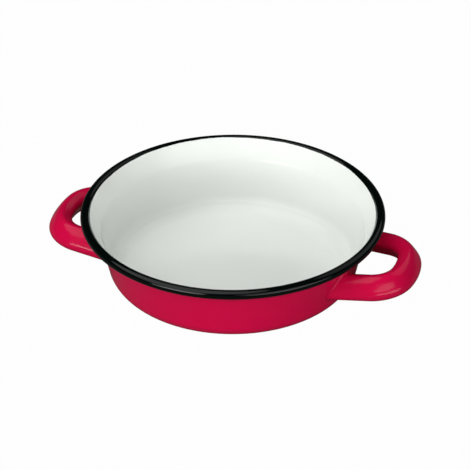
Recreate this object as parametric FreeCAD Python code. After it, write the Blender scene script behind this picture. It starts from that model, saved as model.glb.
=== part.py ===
import FreeCAD, Part
import math
import os

# Enamelled steel egg dish with two loop handles. Millimetres, +Z up.
# The origin is the centre of the flat base, and the handles point along +X and -X.
# The dish is drawn from one round of sheet, and its edge is rolled outwards into a bead.
# Each handle is pressed from strip as a hollow loop with an open seam along its underside.

# Dish, measured on the outside of the sheet
rim_radius = 90.0
height = 43.5
sheet = 1.0
bead_radius = 2.8
curl_gap = 0.4  # left between the rolled edge and the wall
flare_width = 10.6  # from the shoulder out to the outside of the rim
flare_height = 12.5  # from the shoulder up to the top of the rim
shoulder_bend = 6.0
wall_lean = 6.9  # how far the straight wall leans out between the base plane and the shoulder
corner_radius = 11.0

# Handles, measured along the middle line of the strip
grip_stand_off = 27.3  # from the shoulder's radius out to the middle of the grip
root_below_rim = 23.3
grip_rise = 1.3  # how much higher the grip is than the roots
grip_bow_radius = 49.0
grip_bow_width = 18.4
loop_corner_radius = 19.1
arm_splay = 8.9  # degrees that each arm opens towards the wall
strip_width = 15.5
strip_depth = 10.8
strip_lean = 58.0  # degrees that the broad side slopes down and outwards
strip_fullness = 3.0  # exponent of the rounded section, where 2 is an ellipse
handle_sheet = 1.4
seam_width = 3.6
weld_fillet = 2.4

section_points = 24
contact = 0.01  # two faces this close are taken as touching

shoulder_radius = rim_radius - flare_width
shoulder_height = height - flare_height
wall_foot_radius = shoulder_radius - wall_lean  # where the straight wall would meet the base plane
handle_reach = shoulder_radius + grip_stand_off
handle_root_height = height - root_below_rim


def polar(centre, radius, angle):
    """Point at an angle in degrees on a circle in the plane of the profile, as (radius, height)."""
    turn = math.radians(angle)
    return (centre[0] + radius * math.cos(turn), centre[1] + radius * math.sin(turn))


def lift(point):
    return FreeCAD.Vector(point[0], 0.0, point[1])


def line(start, end):
    return Part.LineSegment(lift(start), lift(end)).toShape()


def arc(centre, radius, first, last):
    """Arc from one angle to another, in degrees, in the plane of the profile."""
    ends = [lift(polar(centre, radius, a)) for a in (first, 0.5 * (first + last), last)]
    return Part.Arc(*ends).toShape()


# Directions and centres of the dish's profile
bead_centre = (rim_radius - bead_radius, height - bead_radius)
bead_hollow = bead_radius - sheet
wall_angle = math.degrees(math.atan2(shoulder_height, wall_lean))
to_bead = (bead_centre[0] - shoulder_radius, bead_centre[1] - shoulder_height)
flare_angle = math.degrees(
    math.atan2(to_bead[1], to_bead[0]) + math.asin(bead_hollow / math.hypot(*to_bead))
)
corner_tangent = corner_radius * math.tan(math.radians(wall_angle / 2))
corner_centre = (wall_foot_radius - corner_tangent, corner_radius)
shoulder_tangent = shoulder_bend * math.tan(math.radians((wall_angle - flare_angle) / 2))
shoulder_start = polar((shoulder_radius, shoulder_height), shoulder_tangent, wall_angle + 180)
shoulder_centre = polar(shoulder_start, shoulder_bend, wall_angle - 90)
curl_end = flare_angle + 90 - 360 + math.degrees(math.acos((bead_hollow - curl_gap) / bead_radius))


def skin(depth):
    """Edges of one face of the sheet, from the axis to the rolled edge, this deep from its outside."""
    corner = corner_radius - depth
    bend = shoulder_bend + depth
    roll = bead_hollow + depth
    floor_end = polar(corner_centre, corner, -90)
    wall_start = polar(corner_centre, corner, wall_angle - 90)
    wall_end = polar(shoulder_centre, bend, wall_angle + 90)
    flare_start = polar(shoulder_centre, bend, flare_angle + 90)
    flare_end = polar(bead_centre, roll, flare_angle + 90)
    return [
        line((0.0, depth), floor_end),
        arc(corner_centre, corner, -90, wall_angle - 90),
        line(wall_start, wall_end),
        arc(shoulder_centre, bend, wall_angle + 90, flare_angle + 90),
        line(flare_start, flare_end),
        arc(bead_centre, roll, flare_angle + 90, curl_end),
    ]


def revolve(edges):
    face = Part.Face(Part.Wire(Part.sortEdges(edges)[0]))
    return face.revolve(FreeCAD.Vector(0, 0, 0), FreeCAD.Vector(0, 0, 1), 360)


def make_dish():
    """One sheet revolved: flat floor, round corner, wall, shoulder, flare and rolled bead."""
    axis = line((0.0, 0.0), (0.0, sheet))
    rolled_edge = line(polar(bead_centre, bead_hollow, curl_end), polar(bead_centre, bead_radius, curl_end))
    return revolve(skin(0.0) + [rolled_edge] + skin(sheet) + [axis])


def wall_body():
    """The dish's outside up to the bead, filled in, for the handles to seat on."""
    outside = skin(0.0)[:-1]
    top = outside[-1].Vertexes[-1].Point
    lid = line((top.x, top.z), (0.0, top.z))
    axis = line((0.0, top.z), (0.0, 0.0))
    return revolve(outside + [lid, axis])


# Loop of the handle, in its own plane: u outwards from the dish's axis and v along the rim
handle_tilt = math.degrees(math.atan2(grip_rise, grip_stand_off))
bow_half_angle = math.degrees(math.asin(0.5 * grip_bow_width / grip_bow_radius))
bow_centre = (handle_reach - grip_bow_radius, 0.0)
loop_corner_centre = polar(bow_centre, grip_bow_radius - loop_corner_radius, bow_half_angle)
arm_angle = 90 - arm_splay


def loop_path():
    """Middle line of the handle: a bowed grip, two corners and two arms that run into the wall."""
    grip_end = polar(bow_centre, grip_bow_radius, bow_half_angle)
    arm_start = polar(loop_corner_centre, loop_corner_radius, arm_angle)
    inside_wall = 0.5 * wall_foot_radius
    run = (arm_start[0] - inside_wall) / math.sin(math.radians(arm_angle))
    arm_end = polar(arm_start, run, arm_angle + 90)
    corner_middle = polar(loop_corner_centre, loop_corner_radius, 0.5 * (bow_half_angle + arm_angle))
    side = [FreeCAD.Vector(p[0], p[1], 0.0) for p in (grip_end, corner_middle, arm_start, arm_end)]
    other = [FreeCAD.Vector(p.x, -p.y, 0.0) for p in side]
    grip_middle = FreeCAD.Vector(handle_reach, 0.0, 0.0)
    edges = [
        Part.LineSegment(other[3], other[2]).toShape(),
        Part.Arc(other[2], other[1], other[0]).toShape(),
        Part.Arc(other[0], grip_middle, side[0]).toShape(),
        Part.Arc(side[0], side[1], side[2]).toShape(),
        Part.LineSegment(side[2], side[3]).toShape(),
    ]
    return Part.Wire(edges)


def section_frame(path):
    """Start of the path, with the directions that point out of the loop and up at that end."""
    start = path.Edges[0].Vertexes[0].Point
    ahead = path.Edges[0].tangentAt(path.Edges[0].FirstParameter)
    up = FreeCAD.Vector(0, 0, 1)
    return start, ahead.cross(up), up


def strip_section(path, depth):
    """Rounded section of the strip, this far inside its outside: a superellipse that leans outwards."""
    start, out, up = section_frame(path)
    lean = math.radians(-strip_lean)
    broad = out * math.cos(lean) + up * math.sin(lean)
    across = out * -math.sin(lean) + up * math.cos(lean)
    power = 2.0 / strip_fullness
    points = []
    for step in range(section_points):
        turn = 2 * math.pi * step / section_points
        c, s = math.cos(turn), math.sin(turn)
        a = math.copysign(abs(c) ** power, c) * (0.5 * strip_width - depth)
        b = math.copysign(abs(s) ** power, s) * (0.5 * strip_depth - depth)
        points.append(start + broad * a + across * b)
    curve = Part.BSplineCurve()
    curve.interpolate(points, PeriodicFlag=True)
    return Part.Face(Part.Wire(curve.toShape()))


def seam_section(path):
    """Upright slot from the middle of the section down through its underside."""
    start, out, up = section_frame(path)
    half = out * (0.5 * seam_width)
    drop = up * -strip_width
    inner, outer = start - half, start + half
    return Part.Face(Part.makePolygon([inner, outer, outer + drop, inner + drop, inner]))


def place_loop(shape):
    """Tips the handle's plane up towards the grip and lifts it to the root's height on the wall."""
    shape.rotate(FreeCAD.Vector(shoulder_radius, 0, 0), FreeCAD.Vector(0, 1, 0), -handle_tilt)
    shape.translate(FreeCAD.Vector(0, 0, handle_root_height))
    return shape


def make_handle():
    """Hollow loop on the +X side, flared by a fillet where it is welded to the wall."""
    path = loop_path()
    outside = place_loop(path.makePipe(strip_section(path, 0.0)))
    inside = place_loop(path.makePipe(strip_section(path, handle_sheet)))
    seam = place_loop(path.makePipe(seam_section(path)))
    top_radius = wall_foot_radius + height / math.tan(math.radians(wall_angle))
    cone = Part.makeCone(wall_foot_radius, top_radius, height)
    joined = cone.fuse(outside)
    welds = [edge for edge in joined.Edges if is_weld(edge, cone, outside)]
    flared = joined.makeFillet(weld_fillet, welds)
    ends_on_wall = flared.cut(cone).cut(wall_body())
    return ends_on_wall.cut([inside, seam])


def is_weld(edge, wall, loop):
    """True for an edge where the loop's outside meets the wall's outside."""
    middle = Part.Vertex(edge.valueAt(0.5 * (edge.FirstParameter + edge.LastParameter)))
    return all(body.Shells[0].distToShape(middle)[0] < contact for body in (wall, loop))


def main():
    os.makedirs("parts", exist_ok=True)
    handle = make_handle()
    make_dish().exportStep("parts/dish.step")
    for name, turn in (("handle_right", 0), ("handle_left", 180)):
        side = handle.copy()
        side.rotate(FreeCAD.Vector(0, 0, 0), FreeCAD.Vector(0, 0, 1), turn)
        side.exportStep("parts/" + name + ".step")


main()
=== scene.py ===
# %% [markdown]
# # An enamelled egg dish
# The object is a small round dish of pressed steel, drawn from one sheet, with its edge rolled into a bead
# and a hollow loop handle welded to each side. All of it is covered with vitreous enamel, which is glass
# melted on to steel: white inside, black on the bead and crimson outside.
#
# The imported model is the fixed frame. This lesson builds a smooth surface for each of its three pieces, from
# the same sizes, and gives each one its enamel.

# %% Load the frame
import math

import bpy
import numpy as np
from mathutils import Matrix, Vector


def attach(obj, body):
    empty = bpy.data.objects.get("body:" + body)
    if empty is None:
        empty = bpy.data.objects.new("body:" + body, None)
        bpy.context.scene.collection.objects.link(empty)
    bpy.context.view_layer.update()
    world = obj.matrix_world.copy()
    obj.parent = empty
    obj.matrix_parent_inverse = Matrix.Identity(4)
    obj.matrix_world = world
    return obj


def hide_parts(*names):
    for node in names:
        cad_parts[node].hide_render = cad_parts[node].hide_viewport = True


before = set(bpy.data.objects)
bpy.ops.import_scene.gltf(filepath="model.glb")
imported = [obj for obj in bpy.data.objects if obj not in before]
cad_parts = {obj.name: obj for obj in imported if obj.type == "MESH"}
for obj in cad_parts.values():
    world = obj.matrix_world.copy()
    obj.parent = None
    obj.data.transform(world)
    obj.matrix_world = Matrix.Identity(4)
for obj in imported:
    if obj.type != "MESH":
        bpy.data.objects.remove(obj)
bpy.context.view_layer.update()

# %% [markdown]
# ## Sizes
# The sizes are in millimetres and are the ones that the frame was drawn from, so each surface lies on its
# solid. They could be measured on the frame's meshes instead, but named sizes say what each number is. Only
# the ridge round the floor isn't in the frame.

# %% Sizes of the dish
rim_radius, height, sheet = 90.0, 43.5, 1.0
bead_radius, curl_gap = 2.8, 0.4
flare_width, flare_height = 10.6, 12.5
shoulder_bend, corner_radius, wall_lean = 6.0, 11.0, 6.9
shoulder_radius, shoulder_height = rim_radius - flare_width, height - flare_height
wall_foot_radius = shoulder_radius - wall_lean
ridge_level, ridge_half_width, ridge_height = 4.6, 1.3, 0.2
print("shoulder at", shoulder_radius, "wall foot at", round(wall_foot_radius, 1))

# %% Sizes of a handle
grip_stand_off, root_below_rim, grip_rise = 27.3, 23.3, 1.3
handle_reach, handle_root_height = shoulder_radius + grip_stand_off, height - root_below_rim
grip_bow_radius, grip_bow_width = 49.0, 18.4
loop_corner_radius, arm_splay = 19.1, 8.9
strip_width, strip_depth, strip_lean, strip_fullness = 15.5, 10.8, 58.0, 3.0
handle_sheet, seam_width, weld_fillet = 1.4, 3.6, 2.4
print("a handle reaches", round(handle_reach, 1), "mm to the middle of its grip")

# %% [markdown]
# ## Tools for the surfaces
# Every piece is a grid of points: one parameter runs along the rows and the other along the columns. The
# faces join neighbours in the grid. A grid could also be made with Blender's Spin or Screw, but a formula
# keeps the poles, seams and texture coordinates under control.

# %% Lines and arcs of a profile
def polar(centre, radius, angle):
    """Point of a circle: the centre plus the radius times the cosine and sine of an angle in degrees."""
    turn = np.radians(angle)
    return np.stack([centre[0] + radius * np.cos(turn), centre[1] + radius * np.sin(turn)], -1)


def arc(centre, radius, first, last, count):
    """Points of a circle at equal steps from the first angle to the last, in degrees."""
    return polar(centre, radius, np.linspace(first, last, count))


def line(start, end, count):
    """Points between two ends, closer together near both, at the share (1 - cos(pi k)) / 2 of the way."""
    share = 0.5 - 0.5 * np.cos(np.pi * np.linspace(0, 1, count))
    return np.outer(1 - share, start) + np.outer(share, end)


def distance_along(points):
    """Length of the line of points up to each of them: the running sum of its steps."""
    steps = np.linalg.norm(np.diff(points, axis=0), axis=1)
    return np.concatenate([[0.0], np.cumsum(steps)])


print("a quarter circle of radius 1 measures", round(distance_along(arc((0, 0), 1, 0, 90, 91))[-1], 4))

# %% Faces of a grid
def quads(number):
    """Faces between neighbours in a grid of numbers: here, next column, next both, next row."""
    corners = [number[:-1, :-1], number[:-1, 1:], number[1:, 1:], number[1:, :-1]]
    return np.stack(corners, -1).reshape(-1, 4)


print("a 3 by 3 grid has", len(quads(np.arange(9).reshape(3, 3))), "faces")

# %% A piece from its faces
def make_piece(name, points, uv, faces, node):
    """Mesh in metres from points in mm. Faces are pairs of arrays, of point numbers and of uv numbers. The
    volume is a sixth of the sum of a . (b x c) over its triangles, above zero where faces point outwards."""
    points, uv = points.reshape(-1, 3), uv.reshape(-1, 2)
    used, new = np.unique(np.concatenate([f.ravel() for f, _ in faces]), return_inverse=True)
    cuts = np.cumsum([f.size for f, _ in faces])[:-1]
    lists = [part.reshape(f.shape).tolist() for part, (f, _) in zip(np.split(new, cuts), faces)]
    mesh = bpy.data.meshes.new(name)
    mesh.from_pydata((points[used] / 1000).tolist(), [], sum(lists, []))
    corners = np.concatenate([t.ravel() for _, t in faces])
    mesh.uv_layers.new(name="UVMap").data.foreach_set("uv", uv[corners].astype(np.float32).ravel())
    mesh.polygons.foreach_set("use_smooth", np.ones(len(mesh.polygons), bool))
    mesh.update()
    piece = bpy.data.objects.new(name, mesh)
    bpy.context.scene.collection.objects.link(piece)
    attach(piece, "root")
    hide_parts(node)
    mesh.calc_loop_triangles()
    corner = np.empty(len(mesh.loop_triangles) * 3, np.int32)
    mesh.loop_triangles.foreach_get("vertices", corner)
    a, b, c = points[used][corner].reshape(-1, 3, 3).transpose(1, 0, 2)
    print(name, len(a), "triangles,", round((a * np.cross(b, c)).sum() / 6000, 3), "cm3")
    return piece, used


# %% [markdown]
# ## The dish
# A press draws the dish from one round of sheet steel, and a roller curls its edge outwards. Seen in section
# it is one line of even thickness, so the profile is two skins, one sheet apart. Each skin is made of lines
# and arcs that meet without a corner: floor, round corner, wall, shoulder, flare and curl. Inside the round
# corner runs a faint ridge that catches the light as a thin line. A lathe, or Blender's Screw modifier, would
# turn the same profile. Here the turn is written as a formula.

# %% Directions and centres of the profile
bead_centre = np.array([rim_radius - bead_radius, height - bead_radius])
bead_hollow = bead_radius - sheet
wall_angle = math.degrees(math.atan2(shoulder_height, wall_lean))
to_bead = bead_centre - (shoulder_radius, shoulder_height)
to_tangent = math.asin(bead_hollow / np.linalg.norm(to_bead))
flare_angle = math.degrees(math.atan2(to_bead[1], to_bead[0]) + to_tangent)
corner_run = corner_radius * math.tan(math.radians(wall_angle / 2))
corner_centre = np.array([wall_foot_radius - corner_run, corner_radius])
bend_run = shoulder_bend * math.tan(math.radians((wall_angle - flare_angle) / 2))
shoulder_start = polar((shoulder_radius, shoulder_height), bend_run, wall_angle + 180)
shoulder_centre = polar(shoulder_start, shoulder_bend, wall_angle - 90)
curl_end = flare_angle - 270 + math.degrees(math.acos((bead_hollow - curl_gap) / bead_radius))
print("wall at", round(wall_angle, 1), "degrees, flare at", round(flare_angle, 1))

# %% The two skins of the sheet
floor_points, corner_points, wall_points, shoulder_points, flare_points, curl_points = 12, 34, 12, 9, 8, 44


def skin(depth):
    """Line of one face of the sheet, from the axis to the rolled edge, this deep from its outside: lines and
    arcs, where the corner's radius shrinks with the depth and the other two grow."""
    corner, bend, roll = corner_radius - depth, shoulder_bend + depth, bead_hollow + depth
    floor_end, wall_start = polar(corner_centre, corner, -90), polar(corner_centre, corner, wall_angle - 90)
    wall_end = polar(shoulder_centre, bend, wall_angle + 90)
    flare_start = polar(shoulder_centre, bend, flare_angle + 90)
    flare_end = polar(bead_centre, roll, flare_angle + 90)
    parts = [
        line((0.0, depth), floor_end, floor_points),
        arc(corner_centre, corner, -90, wall_angle - 90, corner_points)[1:],
        line(wall_start, wall_end, wall_points)[1:],
        arc(shoulder_centre, bend, wall_angle + 90, flare_angle + 90, shoulder_points)[1:],
        line(flare_start, flare_end, flare_points)[1:],
        arc(bead_centre, roll, flare_angle + 90, curl_end, curl_points)[1:],
    ]
    return np.concatenate(parts)


outside, inside = skin(0.0), skin(sheet)
print("each skin has", len(outside), "points")

# %% The ridge round the floor
# Each point near the ridge's level is pushed from the sheet towards the centre of the round corner, by the
# ridge's height times 3 s^2 - 2 s^3, where s falls from 1 at that level to 0 at half the ridge's width.
near_ridge = np.clip(1 - np.abs(inside[:, 1] - ridge_level) / ridge_half_width, 0, 1)
inward = corner_centre - inside
inward /= np.linalg.norm(inward, axis=1, keepdims=True)
inside += ridge_height * (3 * near_ridge**2 - 2 * near_ridge**3)[:, None] * inward
print("the inside measures", round(distance_along(inside)[-1], 1), "mm")

# %% Turn the profile
# A point is the profile's radius times the cosine and sine of the azimuth, and the profile's height.
turns, rolled_edge_points = 420, 7
azimuth = np.linspace(0, 2 * np.pi, turns + 1)
edge_centre = (outside[-1] + inside[-1]) / 2
rolled_edge = arc(edge_centre, sheet / 2, curl_end + 180, curl_end, rolled_edge_points)[1:-1]
profile = np.concatenate([outside, rolled_edge, inside[::-1]])
along = distance_along(profile)
radius = profile[:, :1]
dish_grid = np.stack([radius * np.cos(azimuth), radius * np.sin(azimuth), profile[:, 1:] + 0 * azimuth], -1)
dish_uv = np.stack(np.broadcast_arrays(azimuth / (2 * np.pi), along[:, None] / along[-1]), -1)
print("dish grid", dish_grid.shape[:2], "profile", round(along[-1], 1), "mm long")

# %% Join its seam and its poles
# Each point has its own number for the texture. In the joined numbers the last column repeats the first, and
# the first and last rows, which lie on the axis, are one point each, with triangles round it.
each = np.arange(dish_grid[..., 0].size).reshape(dish_grid.shape[:2])
joined = each.copy()
joined[:, -1] = joined[:, 0]
joined[0], joined[-1] = joined[0, 0], joined[-1, 0]
first_pole, last_pole = [0, 2, 3], [0, 1, 2]
dish_faces = [
    (quads(joined[:2])[:, first_pole], quads(each[:2])[:, first_pole]),
    (quads(joined[1:-1]), quads(each[1:-1])),
    (quads(joined[-2:])[:, last_pole], quads(each[-2:])[:, last_pole]),
]
dish, dish_used = make_piece("enamelled_dish", dish_grid, dish_uv, dish_faces, "dish")

# %% [markdown]
# ## Where one enamel meets the next
# The white was sprayed inside, the crimson outside, and the black was brushed or rolled on to the bead last.
# Its edge on the inside isn't a machine's line: it wanders by a millimetre. A painted mask could show that,
# but a number on each point of the mesh follows the bead exactly: how far the point lies inside the black, in
# millimetres.

# %% Edge of the black enamel
def wander(azimuth, waves):
    """Sum of sine waves round the rim, each with a height in mm, a whole number of waves and a phase in
    degrees."""
    return sum(size * np.sin(count * azimuth + np.radians(phase)) for size, count, phase in waves)


black_waves = [
    (0.90, 1, 162), (0.45, 2, 55), (0.10, 5, 10), (0.06, 11, 80), (0.05, 23, 160), (0.03, 41, 20)
]
black_past_bead_top, black_before_curl = 3.3, 2.0
to_curl_inside = distance_along(skin(sheet)[:1 - curl_points])[-1]
to_curl_outside = distance_along(skin(0.0)[:1 - curl_points])[-1]
bead_top = along[-1] - to_curl_inside - np.radians(flare_angle) * bead_radius
inner_edge = bead_top + black_past_bead_top + wander(azimuth, black_waves)
# Below the curl the black runs black_before_curl mm down the outside of the flare: painted shade, for the
# shade under the rim.
outer_edge = to_curl_outside - black_before_curl
inside_black = np.minimum(inner_edge - along[:, None], along[:, None] - outer_edge + 0 * azimuth)
print("black enamel is up to", round(float(inside_black.max()) * 2, 1), "mm wide, measured round the curl")

# %% Numbers on the points of the dish
white_side = np.broadcast_to((along > bead_top)[:, None] * 1.0, inside_black.shape)
for label, values in (("inside_black", inside_black), ("white_side", white_side)):
    attribute = dish.data.attributes.new(label, "FLOAT", "POINT")
    attribute.data.foreach_set("value", values.reshape(-1)[dish_used].astype(np.float32))
print("attributes on", len(dish_used), "points")

# %% [markdown]
# ## The handles
# Each handle is pressed from strip and closed to a rounded, hollow section that leans outwards, with an open
# seam underneath, and then bent to a bowed loop. Its ends are flared by the weld. It could be a curve with a
# bevel, but then the ends wouldn't meet the sloping wall. Here the section is carried along the loop, and
# every line that runs along an arm ends where it meets the cone of the wall, with the weld's round in front.

# %% Section of the strip
line_points, degree_parts = 72, 4


def section_line(depth, half_slot):
    """Superellipse, as out and up: in the direction t its radius is (|cos/a|^n + |sin/b|^n)^(-1/n), in leaned
    axes. It runs from one lip of the seam over the top to the other, at equal steps along its length."""
    t = np.radians(np.linspace(-90, 270, 360 * degree_parts + 1))
    lean = t + np.radians(strip_lean)
    a, b, n = strip_width / 2 - depth, strip_depth / 2 - depth, strip_fullness
    r = (np.abs(np.cos(lean) / a) ** n + np.abs(np.sin(lean) / b) ** n) ** (-1 / n)
    curve = np.stack([r * np.cos(t), r * np.sin(t)], -1)
    curve = curve[(np.abs(curve[:, 0]) > half_slot) | (curve[:, 1] > 0)]
    run = distance_along(curve)
    step = np.linspace(0, run[-1], line_points)
    return np.stack([np.interp(step, run, curve[:, 0]), np.interp(step, run, curve[:, 1])], -1)


def lip(start, end, count):
    """Half circle from one point to the other: the middle, plus half the way back times cos w, plus the same
    turned by a right angle times sin w."""
    w = np.linspace(0, np.pi, count + 2)[1:-1, None]
    middle, arm = (start + end) / 2, (start - end) / 2
    return middle + arm * np.cos(w) + np.array([arm[1], -arm[0]]) * np.sin(w)


half_slot = seam_width / 2 + handle_sheet / 2
outer_line, inner_line = section_line(0.0, half_slot), section_line(handle_sheet, half_slot)
print("outer line from", outer_line[0].round(2), "to", outer_line[-1].round(2))
print("inner line from", inner_line[0].round(2), "to", inner_line[-1].round(2))

# %% Close the section
lip_points = 5
section = np.concatenate([
    outer_line, lip(outer_line[-1], inner_line[-1], lip_points),
    inner_line[::-1], lip(inner_line[0], outer_line[0], lip_points)
])
is_outer = np.arange(len(section)) < len(outer_line)
heading = np.gradient(outer_line, axis=0)
heading /= np.linalg.norm(heading, axis=1, keepdims=True)
flare_out = np.zeros_like(section)
flare_out[is_outer] = np.stack([heading[:, 1], -heading[:, 0]], -1)
print("section of", len(section), "points, first pushed", flare_out[0].round(2), "by the weld")

# %% Middle line of the loop
# The loop turns through the angles that its middle line faces. A point is the centre of its arc plus the
# arc's radius times the cosine and sine of that angle.
bend_points, bow_points = 40, 16
bow_half = math.degrees(math.asin(grip_bow_width / 2 / grip_bow_radius))
bow_centre = np.array([handle_reach - grip_bow_radius, 0.0])
loop_corner = polar(bow_centre, grip_bow_radius - loop_corner_radius, bow_half)
arm_turn = 90 - arm_splay
facing = np.concatenate([
    np.linspace(-arm_turn, -bow_half, bend_points),
    np.linspace(-bow_half, bow_half, bow_points)[1:-1],
    np.linspace(bow_half, arm_turn, bend_points),
])
on_bow = np.abs(facing) < bow_half
corner_sides = loop_corner * np.stack([facing * 0 + 1, np.sign(facing)], -1)
centre = np.where(on_bow[:, None], bow_centre, corner_sides)
reach = np.where(on_bow, grip_bow_radius, loop_corner_radius)
turned = np.radians(facing)
bent = np.stack([centre[:, 0] + reach * np.cos(turned), centre[:, 1] + reach * np.sin(turned)], -1)
print("the bend of the loop measures", round(distance_along(bent)[-1], 1), "mm")

# %% Place of a point of the handle
tilt = math.atan2(grip_rise, handle_reach - shoulder_radius)


def place(u, v, w):
    """Point of the handle's own plane, outwards, along the rim and up, tipped about the shoulder and lifted:
    the plane's u and w are turned by the tilt with its cosine and sine."""
    x = shoulder_radius + (u - shoulder_radius) * math.cos(tilt) - w * math.sin(tilt)
    z = handle_root_height + (u - shoulder_radius) * math.sin(tilt) + w * math.cos(tilt)
    return np.stack([x, v + 0 * x, z], -1)


def to_wall(start, way):
    """How far a straight line runs from its start until it meets the cone of radius foot + z / tan(wall).
    It is the smaller root of the quadratic for x^2 + y^2 = radius^2."""
    k = 1 / math.tan(math.radians(wall_angle))
    r, dr = wall_foot_radius + k * start[..., 2], k * way[2]
    a = way[0] ** 2 + way[1] ** 2 - dr**2
    b = start[..., 0] * way[0] + start[..., 1] * way[1] - r * dr
    c = start[..., 0] ** 2 + start[..., 1] ** 2 - r**2
    return (-b - np.sqrt(b * b - a * c)) / a


print("the grip's middle lies at", place(np.array(handle_reach), 0.0, 0.0).round(2))

# %% Arms and their welds
straight_points, weld_points = 14, 12


def arm(side):
    """Rows of points from the end of the bend to the wall. In front of the wall the line swells by a round of
    the weld's radius that touches both the arm and the wall: with the wedge b between them, its centre stands
    radius / tan(b / 2) from the wall, and the round turns through 180 - b degrees."""
    end = bent[-1 if side > 0 else 0]
    out = np.array([math.cos(math.radians(arm_turn)), side * math.sin(math.radians(arm_turn))])
    back = np.array([-out[1], out[0]]) * side
    start = place(end[0] + section[:, 0] * out[0], end[1] + section[:, 0] * out[1], section[:, 1])
    pushed = place(flare_out[:, 0] * out[0], flare_out[:, 0] * out[1], flare_out[:, 1])
    push = pushed - place(np.zeros(1), 0.0, 0.0)
    way = place(back[0], back[1], 0.0 * back[0]) - place(0.0, 0.0, 0.0)
    run = to_wall(start, way)
    hit = start + run[:, None] * way
    slope = math.tan(math.radians(wall_angle))
    normal = np.stack([hit[:, 0], hit[:, 1], -np.hypot(hit[:, 0], hit[:, 1]) / slope], -1)
    normal /= np.linalg.norm(normal, axis=1, keepdims=True)
    wedge = np.arctan2(-normal @ way, -(normal * push).sum(1))
    turn = -np.pi / 2 - np.linspace(0, 1, weld_points)[:, None] * (np.pi - wedge)
    swell = weld_fillet * (1 + np.sin(turn)) * is_outer
    stand = weld_fillet * (1 / np.tan(wedge / 2) + np.cos(turn)) - swell / np.tan(wedge)
    foot = start + swell[..., None] * push
    weld = foot + (to_wall(foot, way) - stand)[..., None] * way
    share = np.linspace(0, 1, straight_points)[1:-1, None, None]
    straight = start * (1 - share) + weld[0] * share
    return np.concatenate([straight, weld])


print("arms end at a radius from", np.hypot(*arm(1)[-1, :, :2].T).min().round(1), "mm")

# %% Carry the section round the loop
# A point of the bend is the middle line's point, plus the section's out along the way that it faces, plus the
# section's up. The texture is measured along one outer line and round the section, one repeat in 130 mm.
uv_length, measured_line = 130, 30
facing_way = turned[:, None]
bend = place(
    bent[:, :1] + section[:, 0] * np.cos(facing_way), bent[:, 1:] + section[:, 0] * np.sin(facing_way),
    section[:, 1] + 0 * facing_way
)
handle_grid = np.concatenate([arm(-1)[::-1], bend, arm(1)])
handle_grid = np.concatenate([handle_grid, handle_grid[:, :1]], axis=1)
rows, columns = handle_grid.shape[:2]
along_loop = distance_along(handle_grid[:, measured_line])
round_section = distance_along(np.concatenate([section, section[:1]]))
handle_uv = np.stack(np.broadcast_arrays(along_loop[:, None] / uv_length, round_section / uv_length), -1)
print("handle grid", rows, "by", columns)

# %% Close its ends
each = np.arange(rows * columns).reshape(rows, columns)
joined = each.copy()
joined[:, -1] = joined[:, 0]


def lid(number):
    """Faces across one end of the handle. Its ring is turned to start in the middle of a lip, so that point k
    from the start faces point k from the end: a strip joins these pairs, and a triangle closes each lip."""
    ring = np.roll(number[:-1], lip_points // 2 + 1)
    half = len(ring) // 2
    there, back = ring[1:half], ring[:half:-1]
    strip = np.stack([there[:-1], there[1:], back[1:], back[:-1]], -1)
    points = np.array([[ring[0], there[0], back[0]], [there[-1], ring[half], back[-1]]])
    return strip, points


print("each end has", sum(len(part) for part in lid(joined[0])), "faces")

# %% Make both handles
# The left handle is the right one turned by half a turn, so x and y change sign and no face turns over.
handle_faces = [(quads(joined)[:, ::-1], quads(each)[:, ::-1])]
handle_faces += zip(lid(joined[0]), lid(each[0]))
handle_faces += [(f[:, ::-1], t[:, ::-1]) for f, t in zip(lid(joined[-1]), lid(each[-1]))]
handles = []
for side, sign in (("right", 1), ("left", -1)):
    name, node, turned_grid = "enamelled_handle_" + side, "handle_" + side, handle_grid * (sign, sign, 1)
    handles.append(make_piece(name, turned_grid, handle_uv, handle_faces, node)[0])

# %% [markdown]
# ## Colours and nodes
# Colours are written as the eye knows them, in hex, and turned linear for the shader. One helper adds a node,
# sets what is given as a value and links what is given as a socket.

# %% Helpers for materials
def linear(hex_colour):
    """sRGB hex to linear: c / 12.92 below 0.04045, else ((c + 0.055) / 1.055) to the power 2.4."""
    c = np.array([int(hex_colour[i:i + 2], 16) for i in (1, 3, 5)]) / 255
    return (*np.where(c <= 0.04045, c / 12.92, ((c + 0.055) / 1.055) ** 2.4).tolist(), 1.0)


def add(tree, kind, inputs=(), **settings):
    """Adds a node with its settings, and for each input either links a socket or sets a value."""
    node = tree.nodes.new(kind)
    for key, value in settings.items():
        setattr(node, key, value)
    for key, value in dict(inputs).items():
        if isinstance(value, bpy.types.NodeSocket):
            tree.links.new(value, node.inputs[key])
        else:
            node.inputs[key].default_value = value
    return node


print("mid grey is", [round(v, 3) for v in linear("#808080")])

# %% [markdown]
# ## Vitreous enamel
# Enamel is glass ground with pigment, sprayed on in a thin slip and fired until it flows. Its surface is
# glass, with an index near 1.5 and little roughness, so it shows each lamp as a bright streak. It keeps a
# faint waviness a few millimetres long, like the skin of an orange, where the slip didn't level out, and its
# colour goes a shade darker and lighter with its thickness. A plain colour with a low roughness would be
# quicker, but it would look like plastic, so noise at those real sizes drives the waviness and the shade.

# %% Start of an enamel material
peel_grain, peel_height, cloud_size = 6.0, 0.02, 30


def new_material(name):
    """Material with an empty node tree, and that tree."""
    material = bpy.data.materials.new(name)
    material.use_nodes = True
    material.node_tree.nodes.clear()
    return material, material.node_tree


def orange_peel(tree, where):
    """Normal of a surface raised by noise, whose scale is a metre over the real size of a grain."""
    noise = add(tree, "ShaderNodeTexNoise", {
        "Vector": where, "Scale": 1000 / peel_grain, "Detail": 1.0, "Roughness": 0.4
    })
    bump = add(tree, "ShaderNodeBump", {
        "Strength": 1.0, "Distance": peel_height / 1000, "Height": noise.outputs["Fac"]
    })
    return bump.outputs["Normal"]


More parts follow.
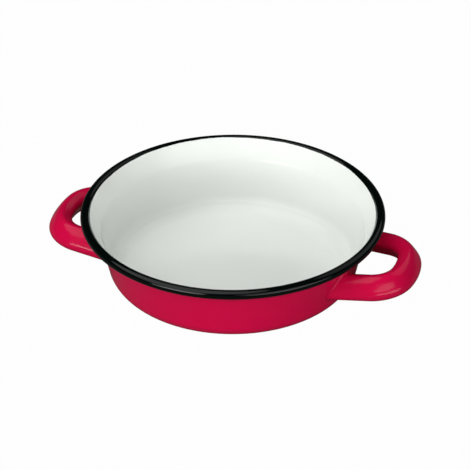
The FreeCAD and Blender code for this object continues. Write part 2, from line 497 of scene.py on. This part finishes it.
print("orange peel of", peel_grain, "mm has noise scale", round(1000 / peel_grain, 1))

# %% Crimson enamel of the handles
# An opaque crimson glass, deep and even, with soft streaks of light. Its two crimsons are the dish's made
# darker, as painted shade for the shade that falls on the handles.
crimson, tree = new_material("vitreous_enamel_crimson_painted_shade")
where = add(tree, "ShaderNodeTexCoord").outputs["Object"]
cloud = add(tree, "ShaderNodeTexNoise", {
    "Vector": where, "Scale": 1000 / cloud_size, "Detail": 2.0, "Roughness": 0.5
})
# Both crimsons below are darker than the dish's: painted shade on the handles.
shade = add(tree, "ShaderNodeMix", {
    0: cloud.outputs["Fac"], 6: linear("#CA0A40"), 7: linear("#D40B46")
}, data_type="RGBA")
shader = add(tree, "ShaderNodeBsdfPrincipled", {
    "Base Color": shade.outputs[2], "Roughness": 0.15, "IOR": 1.5, "Specular IOR Level": 0.2,
    "Normal": orange_peel(tree, where),
})
add(tree, "ShaderNodeOutputMaterial", {"Surface": shader.outputs["BSDF"]})
for handle in handles:
    handle.data.materials.append(crimson)
print("handle enamel has", len(tree.nodes), "nodes")

# %% [markdown]
# ## Enamels of the dish
# The dish carries three enamels on one sheet, so its material is one glass whose colour changes across the
# bead. The white is an opaque glass, almost neutral and a touch green. The black is glossier than the others,
# and as dark as it can be, so that only its streaks of light show its round form. Three materials on three
# sets of faces would give a stepped edge; the numbers on the points give a smooth one.

# %% Colours of the dish's enamel
# Sprayed and fired glass: even crimson and white, with clouds of a slightly different shade.
dish_glass, tree = new_material("vitreous_enamel_on_steel")
where = add(tree, "ShaderNodeTexCoord").outputs["Object"]
cloud = add(tree, "ShaderNodeTexNoise", {
    "Vector": where, "Scale": 1000 / cloud_size, "Detail": 2.0, "Roughness": 0.5
})
on_white = add(tree, "ShaderNodeAttribute", attribute_name="white_side")
reds = add(tree, "ShaderNodeMix", {
    0: cloud.outputs["Fac"], 6: linear("#DC0A48"), 7: linear("#E60C4E")
}, data_type="RGBA")
whites = add(tree, "ShaderNodeMix", {
    0: cloud.outputs["Fac"], 6: linear("#F0F4EF"), 7: linear("#F4F7F3")
}, data_type="RGBA")
coats = add(tree, "ShaderNodeMix", {
    0: on_white.outputs["Fac"], 6: reds.outputs[2], 7: whites.outputs[2]
}, data_type="RGBA")
print("white is", [round(v, 3) for v in linear("#F0F4EF")])

# %% The black and its edge
# The edge of the black frays by a few tenths of a millimetre, in grains of 1.5 mm.
fringe_grain, fringe_height = 1.5, 0.3
black_start, black_full = -0.1, 0.2
fringe = add(tree, "ShaderNodeTexNoise", {"Vector": where, "Scale": 1000 / fringe_grain, "Detail": 2.0})
frayed = add(tree, "ShaderNodeMath", {
    0: fringe.outputs["Fac"], 1: fringe_height, 2: -fringe_height / 2
}, operation="MULTIPLY_ADD")
in_black = add(tree, "ShaderNodeAttribute", attribute_name="inside_black")
depth = add(tree, "ShaderNodeMath", {
    0: in_black.outputs["Fac"], 1: frayed.outputs["Value"]
}, operation="ADD")
black = add(tree, "ShaderNodeMapRange", {
    "Value": depth.outputs["Value"], "From Min": black_start, "From Max": black_full
}, interpolation_type="SMOOTHSTEP")
colour = add(tree, "ShaderNodeMix", {
    0: black.outputs["Result"], 6: coats.outputs[2], 7: linear("#020806")
}, data_type="RGBA")
print("the black comes in over", round(black_full - black_start, 1), "mm")

# %% Gloss of the dish's enamel
# The roughness falls from 0.13 on the white and the crimson to 0.07 on the black.
polish = add(tree, "ShaderNodeMapRange", {"Value": black.outputs["Result"], "To Min": 0.13, "To Max": 0.07})
shader = add(tree, "ShaderNodeBsdfPrincipled", {
    "Base Color": colour.outputs[2], "Roughness": polish.outputs["Result"], "IOR": 1.5,
    "Specular IOR Level": 0.25, "Normal": orange_peel(tree, where),
})
add(tree, "ShaderNodeOutputMaterial", {"Surface": shader.outputs["BSDF"]})
dish.data.materials.append(dish_glass)
print("dish enamel has", len(tree.nodes), "nodes")

# %% [markdown]
# ## Studio
# The object stands on a plain pale floor. The floor is a matt surface, which takes the dish's shadow, mixed
# with a light of strength 1 that only camera rays and transmission rays see, so that the background is white
# without more light on the enamel. Reflections see the matt grey alone, because a white floor mirrored in the
# crimson would turn it greyer. A bright lamp over a white floor would whiten the background too, but it would
# also wash out the enamel.

# %% Floor
floor_reach, floor_glow = 3.0, 0.985


def make_floor():
    """Square of matt paper: no gloss, and grey enough that it throws little light up at the enamel."""
    low, high = -floor_reach, floor_reach
    mesh = bpy.data.meshes.new("floor")
    mesh.from_pydata([(low, low, 0), (high, low, 0), (high, high, 0), (low, high, 0)], [], [(0, 1, 2, 3)])
    floor = bpy.data.objects.new("floor", mesh)
    bpy.context.scene.collection.objects.link(floor)
    material, tree = new_material("matt_white_paper")
    matt = add(tree, "ShaderNodeBsdfDiffuse", {"Color": linear("#707070")})
    glow = add(tree, "ShaderNodeEmission", {"Color": linear("#FFFFFF"), "Strength": 1.0})
    path = add(tree, "ShaderNodeLightPath")
    seen = add(tree, "ShaderNodeMath", {
        0: path.outputs["Is Camera Ray"], 1: path.outputs["Is Transmission Ray"]
    }, operation="MAXIMUM")
    share = add(tree, "ShaderNodeMath", {0: seen.outputs["Value"], 1: floor_glow}, operation="MULTIPLY")
    mixed = add(tree, "ShaderNodeMixShader", {
        0: share.outputs["Value"], 1: matt.outputs["BSDF"], 2: glow.outputs["Emission"]
    })
    add(tree, "ShaderNodeOutputMaterial", {"Surface": mixed.outputs["Shader"]})
    mesh.materials.append(material)
    return floor


make_floor()
print("floor", 2 * floor_reach, "m wide")

# %% World
air_strength = 0.02
world = bpy.data.worlds.new("studio")
bpy.context.scene.world = world
world.use_nodes = True
world.node_tree.nodes.clear()
air = add(world.node_tree, "ShaderNodeBackground", {"Color": linear("#F4F7FA"), "Strength": air_strength})
add(world.node_tree, "ShaderNodeOutputWorld", {"Surface": air.outputs["Background"]})
print("world strength", air_strength)

# %% [markdown]
# ## Lamps
# The photo has soft light from the left and above, and long streaks on the bead and the handles. One large
# lamp stands high on the left and lights the inside evenly. Those in front are low and narrow: they light
# the outside of the wall and draw the streaks, with little light on the back of the inside. A weak one stands
# behind on the right. A single dome of light would be simpler, but the enamel would have nothing to mirror.

# %% Soft boxes
lamp_distance, lamp_aim_height = 1.6, 0.02


def soft_box(name, azimuth, elevation, size, power):
    """Oval lamp that faces the dish from a direction in degrees: azimuth from +X towards +Y, and elevation.
    Its radiance is its power over pi times its area, and its area is pi / 4 times its width and height."""
    lamp = bpy.data.lights.new(name, "AREA")
    lamp.shape, lamp.size, lamp.size_y, lamp.energy = "ELLIPSE", size[0], size[1], power
    holder = bpy.data.objects.new(name, lamp)
    bpy.context.scene.collection.objects.link(holder)
    a, e = math.radians(azimuth), math.radians(elevation)
    away = Vector((math.cos(a) * math.cos(e), math.sin(a) * math.cos(e), math.sin(e)))
    holder.location = Vector((0, 0, lamp_aim_height)) + away * lamp_distance
    holder.rotation_euler = away.to_track_quat("Z", "Y").to_euler()
    print(name, "radiance", round(power * 4 / (math.pi**2 * size[0] * size[1]), 2))


soft_box("left", 224, 64, (2.4, 2.4), 24)
soft_box("low_left", 250, 8, (1.1, 0.3), 8.5)
soft_box("front_left", 253, 21, (0.9, 0.2), 2.5)
soft_box("front_right", 318, 27, (1.6, 0.3), 3)
soft_box("low_right", 326, 7, (2.0, 0.35), 7.5)
soft_box("back_right", 50, 42, (1.8, 1.2), 3)

# %% [markdown]
# ## Camera
# The photo was taken with a long lens from 32.3 degrees above the table, with the line of the handles turned
# 17.6 degrees. The lens is 2300 pixels long on a picture 470 pixels wide. The camera could be placed by eye,
# but its direction, distance and aim were fitted to the rim and the outline, so they are kept as numbers.

# %% Direction of the camera
handles_turned, camera_height_angle, camera_roll = 17.559, 32.278, -0.157  # degrees
lens_pixels, picture_pixels, sensor_width = 2300, 470, 36.0
camera_distance, aim_right, aim_up = 15.077, 0.0170, -0.1756  # in rim radii
turn, rise, roll = math.radians(handles_turned), math.radians(camera_height_angle), math.radians(camera_roll)
right = Vector((math.cos(turn), math.sin(turn), 0))
ahead = Vector((-math.sin(turn) * math.cos(rise), math.cos(turn) * math.cos(rise), -math.sin(rise)))
up = right.cross(ahead)
print("camera looks along", [round(v, 3) for v in ahead])

# %% Place the camera
# The aim is moved by half a pixel each way, because the fit counted pixels from their centres.
away = camera_distance * rim_radius / 1000
half_pixel = 0.5 / lens_pixels * away
aim = Vector((0, 0, height / 1000)) + right * (aim_right * rim_radius / 1000 - half_pixel)
aim += up * (aim_up * rim_radius / 1000 + half_pixel)
rolled_right = math.cos(roll) * right + math.sin(roll) * up
rolled_up = -math.sin(roll) * right + math.cos(roll) * up
camera = bpy.data.cameras.new("camera")
camera.sensor_width, camera.lens = sensor_width, lens_pixels / picture_pixels * sensor_width
holder = bpy.data.objects.new("camera", camera)
bpy.context.scene.collection.objects.link(holder)
camera_axes = Matrix((rolled_right, rolled_up, -ahead)).transposed().to_4x4()
holder.matrix_world = Matrix.Translation(aim - ahead * away) @ camera_axes
bpy.context.scene.camera = holder
print("lens", round(camera.lens, 1), "mm, camera at", [round(v, 3) for v in holder.location])

# %% [markdown]
# ## Finish
# The picture is shown without a film curve, so a colour renders about as it is written. The surfaces
# mustn't grow past the solids.

# %% Colour and end
bpy.context.scene.view_settings.view_transform = "Standard"
